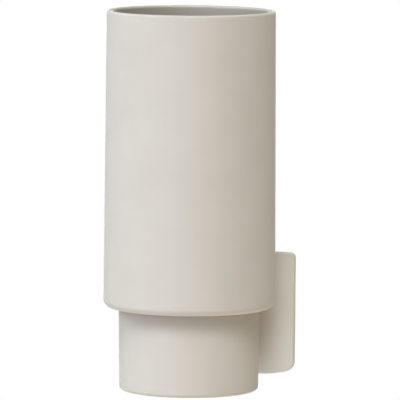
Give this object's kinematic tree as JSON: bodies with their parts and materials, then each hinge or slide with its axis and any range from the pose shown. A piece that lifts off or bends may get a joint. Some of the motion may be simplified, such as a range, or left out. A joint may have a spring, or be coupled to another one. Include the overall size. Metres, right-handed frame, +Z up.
{
  "type": "hanging wall vase",
  "caption": "Tall round stoneware vase whose narrower foot drops into a round cup on a wall plate; the vase turns in the cup and lifts out for filling.",
  "frame": {"origin": "on the wall plane, midway between the two wall screws", "axes": "+Z up along the vase, +Y into the wall, -Y towards the room, +X to the right seen from the room"},
  "size_m": [0.1108, 0.15, 0.2433],
  "materials": {
    "stoneware_vase": "matt warm light grey stoneware, satin glaze inside",
    "stoneware_holder": "matt warm light grey stoneware",
    "silicone": "translucent matt silicone",
    "steel": "zinc plated",
    "nylon": "natural nylon"
  },
  "bodies": {
    "holder": {"wall_plate": "stoneware_holder", "cup_neck": "stoneware_holder", "holder_cup": "stoneware_holder", "rest_pad": "silicone", "wall_screws": "steel", "screw_washers": "nylon"},
    "ring": {"seat_ring": "silicone"},
    "vase": {"vase_body": "stoneware_vase"}
  },
  "joints": [
    {"name": "vase_turn", "type": "hinge", "parent": "holder", "child": "ring", "pos_m": [0, -0.062, 0], "axis": [0, 0, 1], "continuous": true},
    {"name": "vase_lift", "type": "slide", "parent": "ring", "child": "vase", "axis": [0, 0, 1], "range_m": [0, 0.08]}
  ]
}
